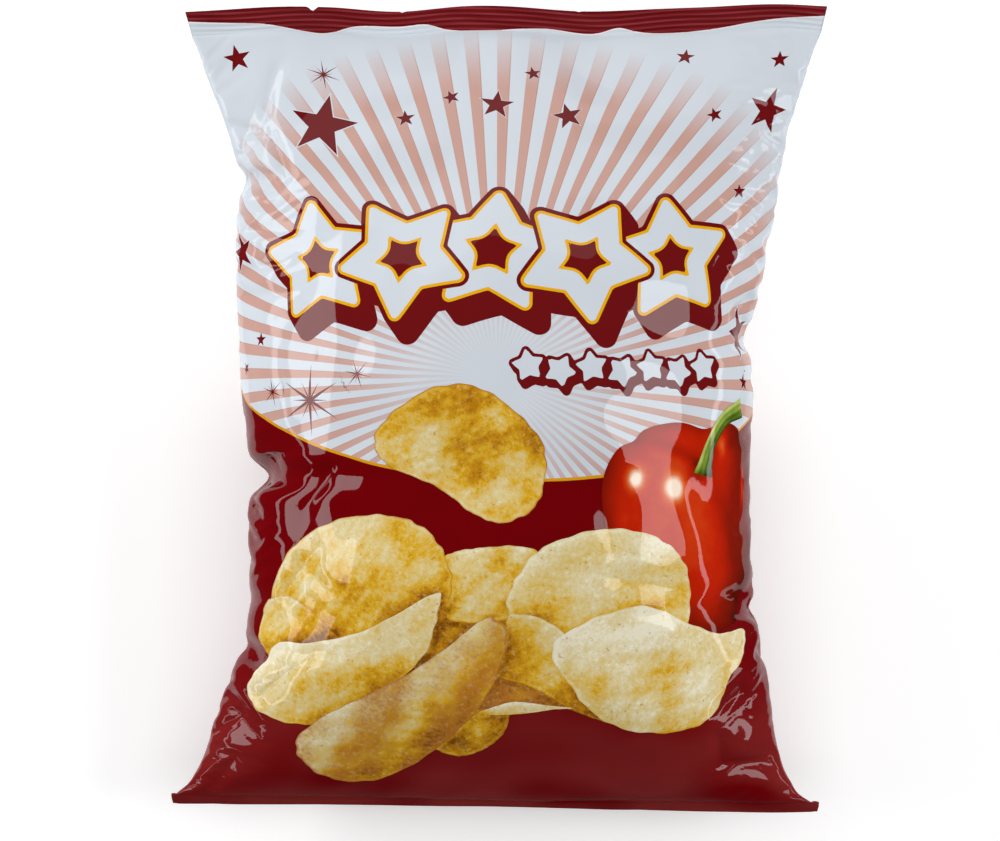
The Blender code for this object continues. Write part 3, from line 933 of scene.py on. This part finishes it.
def nearest_star(across, up, stars):
    """Each point's place in the frame of the nearest star, in its radii, and 0 near it or AWAY."""
    best = np.full(across.shape, FAR)
    place = np.full(across.shape + (3,), AWAY)
    for x, y, radius, turn in stars:
        right, rise = turned((across - x) / radius, (up - y) / radius, turn)
        reach = np.hypot(right, rise)
        nearer = reach < best
        best = np.where(nearer, reach, best)
        for i, way in enumerate((right, rise)):
            place[..., i] = np.where(nearer, way, place[..., i])
    place[..., 2] = np.where(best < STAR_SEARCH, 0, AWAY)
    return place


def low_sheen_share(across, up):
    """Share of the painted sheen, a lighter browner red, at places on the flat film: more lower
    down, in slow patches.
    """
    patch = np.clip(LOW_SHARE + LOW_VARIES * waves(across, up, SEED, LOW_PATCHES), 0, 1)
    return np.clip((LOW_FROM - up) / LOW_FROM, 0, 1) * patch


def print_values(across, up, front):
    """What the print reads at places on the flat film, in millimetres but for rays and stars."""
    right, rise = across - RAY_CENTRE[0], up - RAY_CENTRE[1]
    values = {
        "arc": np.hypot(across - ARC_CENTRE[0], up - ARC_CENTRE[1]) - ARC_RADIUS,
        "ray": np.arctan2(right, rise) * RAY_COUNT / (2 * np.pi) + RAY_COUNT,
        "glow": smooth_curve(RAY_GLOW, np.hypot(right, rise)),
        # share of the painted sheen lower down
        "low": low_sheen_share(across, up),
        "ridge": 0 * across,
        "streak": 0 * across,
        "band": up - FILM_LENGTH - smooth_curve(BAND_EDGE, across),
        "star": nearest_star(across, up, STARS if front else []),
        "sparkle": nearest_star(across, up, SPARKLES if front else []),
    }
    for key, stars, rounding, fall in PLUMP_ROWS:
        gaps = plump_gaps(across, up, stars if front else [], rounding, fall)
        values[key], values[key + "_shade"] = gaps
    return values


def maths(material, operation, *terms):
    """The socket of a sum on sockets and numbers."""
    links = dict(enumerate(terms))
    return add_node(material, "ShaderNodeMath", links, operation=operation).outputs[0]


def remapped(material, *limits):
    """The socket of a value moved from two limits to two others."""
    return add_node(material, "ShaderNodeMapRange", dict(enumerate(limits))).outputs[0]


def laid_over(material, share, below, ink):
    """The socket of a colour with a share of an ink laid over it."""
    links = {"Factor": share, 6: below, 7: linear(ink)}
    return add_node(material, "ShaderNodeMix", links, data_type="RGBA").outputs[2]


def measured(material, name, output="Fac"):
    """The socket of a measure that the mesh carries."""
    return add_node(material, "ShaderNodeAttribute", attribute_name=name).outputs[output]


def set_inputs(shader, values):
    """Values for the inputs of a shader."""
    for key, value in values.items():
        shader.inputs[key].default_value = value


def glossy_film(name):
    """Glossy polypropylene film, printed on its inner side and laminated.

    The eye gets a mirror-like clear coat over a print that has next to no sheen of its own, with
    the faint unevenness of a thin film, a few hundredths of a millimetre over some millimetres.
    """
    material = bpy.data.materials.new(name)
    material.use_nodes = True
    shader = material.node_tree.nodes["Principled BSDF"]
    set_inputs(shader, FILM_FINISH)
    place = add_node(material, "ShaderNodeTexCoord").outputs["Object"]
    links = {"Vector": place, "Scale": RIPPLE_SCALE, "Detail": 3.0}
    ripple = add_node(material, "ShaderNodeTexNoise", links).outputs[0]
    links = {"Height": ripple, "Strength": 1.0, "Distance": RIPPLE_HEIGHT}
    bump = add_node(material, "ShaderNodeBump", links).outputs[0]
    for key in ("Normal", "Coat Normal"):
        material.node_tree.links.new(bump, shader.inputs[key])
    return material, shader


def film_print(name, finish):
    """The film with its print, and with painted sheen, highlight and shade: each layer is laid
    where a measure of it lies between two limits.
    """
    material, shader = glossy_film(name)
    set_inputs(shader, finish)
    measures = {key: measured(material, key) for key in SINGLE_MEASURES}
    for key in ("star", "sparkle"):
        place = measured(material, key, "Vector")
        x, y, away = add_node(material, "ShaderNodeSeparateXYZ", {0: place}).outputs
        both = maths(material, "MULTIPLY_ADD", y, y, maths(material, "MULTIPLY", x, x))
        measures[key + "_turn"] = maths(material, "ARCTAN2", x, y)
        measures[key + "_reach"] = maths(material, "SQRT", both)
        measures[key + "_away"] = away
    for made, operation, *terms in PRINT_SUMS:
        measures[made] = maths(material, operation, *(measures.get(term, term) for term in terms))
    colour = linear(WHITE)
    for measure, low, high, strength, ink in PRINT_LAYERS:
        limits = ((low + high) / 2, (high - low) / 2)
        share = maths(material, "COMPARE", measures[measure], *limits)
        if strength:
            share = maths(material, "MULTIPLY", share, measures[strength])
        colour = laid_over(material, share, colour, ink)
    material.node_tree.links.new(colour, shader.inputs["Base Color"])
    return material


def mottled_print(name, stops, toast, fleck, grain, strength, blister, specks):
    """The film where it carries a picture of food: an ink ramp from dark to light, with mottling.

    Blisters lighten it in spots. The toasted ink comes in by its own share, and small light flecks
    and toasted specks lie all over.
    """
    material, shader = glossy_film(name)
    light, burnt = measured(material, "light"), measured(material, "toast")
    place = add_node(material, "ShaderNodeTexCoord").outputs["Object"]
    links = {"Vector": place, "Scale": 1 / (grain * MM), "Detail": 6.0, "Roughness": 0.68}
    noise = add_node(material, "ShaderNodeTexNoise", links).outputs[0]
    mottle = remapped(material, noise, 0.3, 0.7, -0.5, 0.5)
    tone = maths(material, "MULTIPLY_ADD", mottle, strength, light)
    links = {"Vector": place, "Scale": 1 / BLISTER_SIZE, "Detail": 2.0, "Roughness": 0.7}
    cells = add_node(material, "ShaderNodeTexVoronoi", links).outputs["Distance"]
    tone = maths(material, "ADD", tone, remapped(material, cells, 0.1, 1.0, blister, -blister))
    ramp = add_node(material, "ShaderNodeValToRGB", {0: tone})
    points = ramp.color_ramp.elements
    while len(points) < len(stops):
        points.new(0.5)
    for point, (at, ink) in zip(points, stops):
        point.position = at
        point.color = linear(ink)
    toasted = maths(material, "MULTIPLY_ADD", mottle, 0.8, burnt)
    share = remapped(material, toasted, 0.3, 1.0, 0.0, 0.85)
    colour = laid_over(material, share, ramp.outputs[0], toast)
    links = {"Vector": place, "Scale": 0.9 / (grain * MM), "Detail": 3.0}
    speck = add_node(material, "ShaderNodeTexNoise", links).outputs[0]
    for low, high, most, ink in ((0.56, 0.74, 0.2, fleck), (0.36, 0.27, specks, toast)):
        share = remapped(material, speck, low, high, 0.0, most)
        colour = laid_over(material, share, colour, ink)
    material.node_tree.links.new(colour, shader.inputs["Base Color"])
    return material


def weld(front_root, back_root, top):
    """Closed loops of a weld's points, out to its cut edge, with (place up the film, wave, painted
    crimp light).

    Each row stands off the weld's middle by half the film's thickness and by the crimped ridge
    there: a sine along its depth, whose height and phase wander across. The wave of the ridges runs
    from -1 to 1, and the painted crimp light, how strongly a painted highlight on the ridges and
    painted shade in the grooves show, from 0 to 1.
    """
    middle = (front_root + back_root) / 2
    x = middle[None, :, 0]
    wider = np.where(x < 0, *WELD_FLARE) * (np.abs(x) / (FILM_WIDTH / 2)) ** 4 if top else 0
    half = (front_root - back_root)[None, :, 2] / 2
    nicks = sum(deep * fade(x - at, reach) for at, deep, reach in NICKS) if top else 0
    depth = WELD_HEIGHT - nicks
    distance = np.linspace(0, 1, WELD_ROWS + 1)[:, None] * depth
    along, up, lean = weld_path(distance, top)
    uneven = CRIMP_VARIES * np.sin(x / CRIMP_VARIES_OVER + 2 * distance / WELD_HEIGHT)
    height = CRIMP_RISE * (1 - CRIMP_VARIES + uneven)
    phase = sum(turn * np.sin(x / over + start) for turn, over, start in CRIMP_WANDERS)
    wave = np.sin(2 * np.pi * distance / CRIMP_PITCH + phase)
    ridge = height * wave * np.clip(distance, 0, 1)
    # how strongly the painted highlight and shade of the crimps show, in wandering streaks
    streak = 0.5 + 0.5 * np.sin(x / 11.0 + 5 * distance) * np.sin(x / 4.3 + 3 * distance + 1.0)
    faces = []
    for side in (1, -1):
        offset = side * half + ridge
        y = middle[:, 1] + along - np.sin(lean) * offset
        z = middle[:, 2] + up + np.cos(lean) * offset
        faces.append(np.stack([x * (1 + wider * distance / WELD_HEIGHT), y, z], axis=2))
    loops = around_the_bag(*faces)
    place = (FILM_LENGTH + distance if top else -distance) + 0 * x
    order = 1 if top else -1
    return [loops[::order]] + [around_the_bag(g, g)[::order] for g in (place, wave, streak)]


def add_weld(name, front_root, back_root, top, material):
    """A weld's piece: its two faces and the cap of its cut edge, in one closed loop."""
    loops, up, wave, streak = weld(front_root, back_root, top)
    rows, around = loops.shape[:2]
    across = across_the_film(around // 2) + 0 * loops[:, :, 0]
    cut = (rows - 1) * around if top else 0
    j = np.arange(1, around // 2 - 1)
    cap = np.stack([cut + j, cut + j + 1, cut + around - j - 1, cut + around - j], axis=1)
    cap = cap if top else cap[:, ::-1]
    faces = np.concatenate([loop_faces(rows, around), cap])
    values = print_values(across, up, True)
    values.update({"ridge": np.where(values["band"] > 0, wave, 0), "streak": streak})
    add_piece(name, loops, faces, loop_normals(loops), material, across, up, values)


def add_lap_seam(back, normals, material):
    """The seam down the back, where the film's two edges lap: a strip a film's thickness proud.

    Its points are the back film's own, moved out by the thickness, but for both edges of it.
    """
    rows, columns = back.shape[:2]
    middle = columns // 2
    pick = np.arange(middle - LAP_COLUMNS, middle + LAP_COLUMNS + 1)
    step = np.concatenate([pick[:1], pick, pick[-1:]])
    rise = np.full(len(step), LAP_THICKNESS)
    rise[[0, -1]] = -0.05
    points = back[:, step] + normals[:, step] * rise[None, :, None]
    points[:, :, 2] = np.maximum(points[:, :, 2], 0.1)
    across = -((step / (columns - 1)) - 0.5)[None, :] * FILM_WIDTH + 0 * points[:, :, 0]
    up = np.linspace(0, FILM_LENGTH, rows)[:, None] + 0 * across
    values = print_values(across, up, False)
    faces = grid_faces(rows, len(step))
    add_piece("lap_seam", points, faces, normals[:, step], material, across, up, values)


def waves(x, y, seed, lengths):
    """A bumpy height in millimetres: for each length, sines in directions drawn from the seed."""
    noise = np.random.default_rng(seed)
    total = 0
    for length, slope in lengths:
        for _ in range(WAVES_EACH):
            turn, phase = noise.uniform(0, 2 * np.pi, 2)
            way = (x * np.cos(turn) + y * np.sin(turn)) * 2 * np.pi / length
            total = total + slope * length / 14 * np.sin(way + phase)
    return total


def lit(height, x, y):
    """Share of light on a height over the film: its slope towards the light at the upper left."""
    small = 0.2
    slope_x = (height(x + small, y) - height(x - small, y)) / (2 * small)
    slope_y = (height(x, y + small) - height(x, y - small)) / (2 * small)
    return LIT_FROM[0] * slope_x + LIT_FROM[1] * slope_y


def disc(rings, around):
    """Shares of the radius and of a turn of a disc's points, its middle first, and its faces."""
    share = np.concatenate([[0], np.repeat(np.arange(1, rings + 1) / rings, around)])
    turn = np.concatenate([[0], np.tile(np.arange(around) / around, rings)])
    quads = 1 + loop_faces(rings, around)[:, [0, 3, 2, 1]]
    j = np.arange(around)
    fan = np.stack([0 * j, 1 + j, 1 + (j + 1) % around], axis=1)
    return share, turn, quads.tolist() + fan.tolist()


def closed_curve(points, turn):
    """Places (x, y) on a smooth closed curve through points, at shares of its turn."""
    knots = np.array(points, float)
    count = len(knots)
    steps = np.arange(-2, count + 3)
    return [smooth_curve(list(zip(steps, knots[steps % count, i])), turn * count) for i in (0, 1)]


def add_picture(name, film, across, up, faces, layer, material, light, toast):
    """A printed picture as a skin on the film: its points lie a little above it, by their layer."""
    grid, normals = film
    normal = on_film(normals, across, up)
    normal /= np.linalg.norm(normal, axis=-1, keepdims=True)
    points = on_film(grid, across, up) + normal * (PICTURE_RISE + PICTURE_STEP * layer)
    values = {"light": light, "toast": toast}
    faces = np.array(faces, dtype=object)
    add_piece(name, points, faces, normal, material, across, up, values)


def shadow(x, y, outlines):
    """Share of light lost beside the outlines of the crisps above: it falls off by a power of e."""
    loss = 0 * x
    for outline in outlines:
        edge = closed_curve(outline, np.arange(SHADOW_SAMPLES) / SHADOW_SAMPLES)
        gaps = [(place[:, None] - edge[i] - CRISP_SHADOW[i]) ** 2 for i, place in ((0, x), (1, y))]
        gap = np.sqrt((gaps[0] + gaps[1]).min(axis=1))
        loss = np.maximum(loss, np.exp(-gap / CRISP_SHADOW_REACH))
    return loss


def add_crisp(film, material, row):
    """A printed crisp: its outline drawn in to its middle, domed across its length, and bubbly.

    The outline also carries a fine ripple, and a thin toasted rim. The crisps above shade it.
    """
    name, outline, turn, width, layer, seed, dome, tone, toast = row
    share, part, faces = disc(*CRISP_DISC)
    middle = np.mean(outline, axis=0)
    # The outlines run clockwise, and the disc's faces the other way.
    edge = closed_curve(outline[::-1], part)
    waved = [s * np.sin(2 * np.pi * n * part + seed * k) for s, n, k in CRISP_RIPPLES]
    ripple = sum(waved, 1)
    x, y = (share * ripple * (edge[i] - middle[i]) for i in (0, 1))

    def height(a, b):
        _, aside = turned(a, b, turn)
        return -dome * aside**2 / (2 * width) + waves(a, b, seed, CRISP_BUMPS)

    patch = waves(x, y, seed + 50, CRISP_PATCHES) / 4
    above = [other[1] for other in CRISPS if other[4] > layer]
    inside = (1 - share) * np.hypot(edge[0] - middle[0], edge[1] - middle[1])
    light = tone + CRISP_RELIEF * lit(height, x, y) + CRISP_FRYING * patch
    bright, at, wide = CRISP_PALE_LINE
    light += bright * np.exp(-(((inside - at) / wide) ** 2))
    light -= CRISP_SHADOW_DEPTH * shadow(middle[0] + x, middle[1] + y, above)
    most, changed = CRISP_TOASTING
    burnt = toast * np.clip(most - changed * patch, 0, 1)
    most, less, wide = CRISP_RIM
    burnt += (most - less * tone) * np.exp(-inside / wide)
    x, y = middle[0] + x, middle[1] + y
    add_picture(name, film, x, y, faces, layer, material, light, burnt)


def add_pepper(film, material):
    """The printed pepper: a squarish disc with three lobes, grooves and spots of light."""
    share, part, faces = disc(*PEPPER_DISC)
    angle = 2 * np.pi * part
    n = PEPPER_SQUARENESS
    power = (np.abs(np.cos(angle)) ** n + np.abs(np.sin(angle)) ** n) ** (-1 / n)
    rim = power * sum((s * np.sin(count * angle + a) for s, count, a in PEPPER_RIPPLES), 1)
    rim *= 1 - sum(d * np.exp(-(((angle - at) / wide) ** 2)) for at, d, wide in PEPPER_NOTCHES)
    x = PEPPER_SIZE[0] * share * rim * np.cos(angle)
    y = PEPPER_SIZE[1] * share * rim * np.sin(angle)
    across, up = PEPPER_PLACE[0] + x, PEPPER_PLACE[1] + y
    tone, top, rounding, (shade, at, reach) = PEPPER_LIGHT
    light = tone + top * y / PEPPER_SIZE[1] - rounding * share**6 - shade * fade(x - at, reach)
    for start, end, bow, width, deep in PEPPER_GROOVES:
        along, aside = beside_line(across, up, start, end)
        aside = aside - bow * 4 * along * (1 - along)
        ends = fade(np.clip(along - 0.3, 0, None), 0.8) * (along > -0.05)
        light -= deep * np.exp(-((aside / width) ** 2)) * ends
    for x0, y0, wide, tall, bright in PEPPER_SPOTS:
        light += bright * np.exp(-(((across - x0) / wide) ** 2) - ((up - y0) / tall) ** 2)
    add_picture("pepper", film, across, up, faces, 0, material, light, 0 * light)


def add_stem(film, material):
    """The pepper's stem: a tapered bent strip, dark where it starts, with a pale cut end."""
    steps, sides = STEM_GRID
    t = np.linspace(0, 1, steps + 1)[:, None]
    s = np.linspace(-1, 1, sides + 1)[None, :]
    path = np.array([smooth_curve([(k, p[i]) for k, p in STEM_PATH], t[:, 0]) for i in (0, 1)]).T
    along = np.gradient(path, axis=0)
    along /= np.linalg.norm(along, axis=1, keepdims=True)
    half = smooth_curve(STEM_HALF, t)
    across = path[:, None, 0] - s * half * -along[:, None, 1]
    up = path[:, None, 1] - s * half * along[:, None, 0]
    light = 0.55 - 0.42 * s + 0.12 * np.sin(s * 9 + 2) + 0.10 * (t > 0.955)
    light = light - 0.5 * np.exp(-t / 0.05)
    toast = 0.35 * np.exp(-t / 0.08) + 0 * s
    faces = grid_faces(steps + 1, sides + 1)
    add_picture("stem", film, across, up, faces, 1, material, light, toast)


def dress():
    """All the pieces of the bag, on its crinkled film."""
    loops = crinkled_film()
    out = loop_normals(loops)
    front, back = both_films(loops)
    front_out, back_out = both_films(out)
    film = film_print("printed_polypropylene_film", {})
    crimped = film_print("crimped_polypropylene_weld", WELD_FINISH)
    rows, columns = front.shape[:2]
    side = np.linspace(-1, 1, columns)[None, :] * FILM_WIDTH / 2 + 0 * front[:, :, 0]
    up = np.linspace(0, FILM_LENGTH, rows)[:, None] + 0 * side
    faces = grid_faces(rows, columns)
    values = print_values(side, up, True)
    shown = add_piece("film_front", front, faces, front_out, film, side, up, values)
    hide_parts("bag")
    values = print_values(-side, up, False)
    add_piece("film_back", back, faces, back_out, film, -side, up, values)
    add_weld("top_seal", front[-1], back[-1, ::-1], True, crimped)
    add_weld("bottom_seal", front[0], back[0, ::-1], False, crimped)
    add_lap_seam(back, back_out, film)
    crisp, flesh, stem = [mottled_print(*row) for row in FOOD_PRINTS]
    for row in CRISPS:
        add_crisp((front, front_out), crisp, row)
    add_pepper((front, front_out), flesh)
    add_stem((front, front_out), stem)


PAPER = linear("#f4f4f4")
PAPER_FINISH = {
    "Base Color": PAPER,
    "Roughness": 0.9,
    "Specular IOR Level": 0.1,
    "Emission Color": PAPER,
    "Emission Strength": 0.32,
}


def add_lamp(name, place, aim, size, power, mirrored):
    """A softbox: a rectangle of light this wide and this tall, turned to its aim."""
    lamp = bpy.data.lights.new(name, "AREA")
    lamp.shape = "RECTANGLE"
    lamp.size, lamp.size_y = size
    lamp.energy = power
    holder = bpy.data.objects.new(name, lamp)
    holder.location = place
    holder.visible_glossy = mirrored
    holder.rotation_euler = (Vector(aim) - Vector(place)).to_track_quat("-Z", "Y").to_euler()
    bpy.context.scene.collection.objects.link(holder)


def light_the_table():
    """White paper, the lamps, a dim room, and the camera above the bag."""
    scene = bpy.context.scene
    for lamp in LAMPS:
        add_lamp(*lamp)
    world = bpy.data.worlds.new("studio")
    scene.world = world
    world.use_nodes = True
    world.node_tree.nodes["Background"].inputs[0].default_value = linear(ROOM)
    paper = bpy.data.materials.new("white_paper")
    paper.use_nodes = True
    set_inputs(paper.node_tree.nodes["Principled BSDF"], PAPER_FINISH)
    corners = [(-1, -1), (1, -1), (1, 1), (-1, 1)]
    near = [(x * TABLE_HALF_WIDTH, TABLE_ENDS[y > 0], 0) for x, y in corners]
    far = [(x * FLOOR_HALF, y * FLOOR_HALF, 0) for x, y in corners]
    ring = [(i, (i + 1) % 4, 4 + (i + 1) % 4, 4 + i) for i in range(4)]
    for name, points, faces in (("table", near, [(0, 1, 2, 3)]), ("floor", far + near, ring)):
        mesh = bpy.data.meshes.new(name)
        mesh.from_pydata(points, [], faces)
        mesh.materials.append(paper)
        sheet = bpy.data.objects.new(name, mesh)
        sheet.visible_glossy = name == "table"
        scene.collection.objects.link(sheet)
    lens = bpy.data.cameras.new("camera")
    lens.sensor_width = SENSOR_WIDTH
    lens.lens = SENSOR_WIDTH / PHOTO_WIDTH * CAMERA_HEIGHT
    eye = bpy.data.objects.new("camera", lens)
    eye.location = (*CAMERA_PLACE, (CAMERA_HEIGHT + SIDE_HEIGHT) * MM)
    scene.collection.objects.link(eye)
    scene.camera = eye
    scene.view_settings.view_transform = "Standard"


dress()
light_the_table()
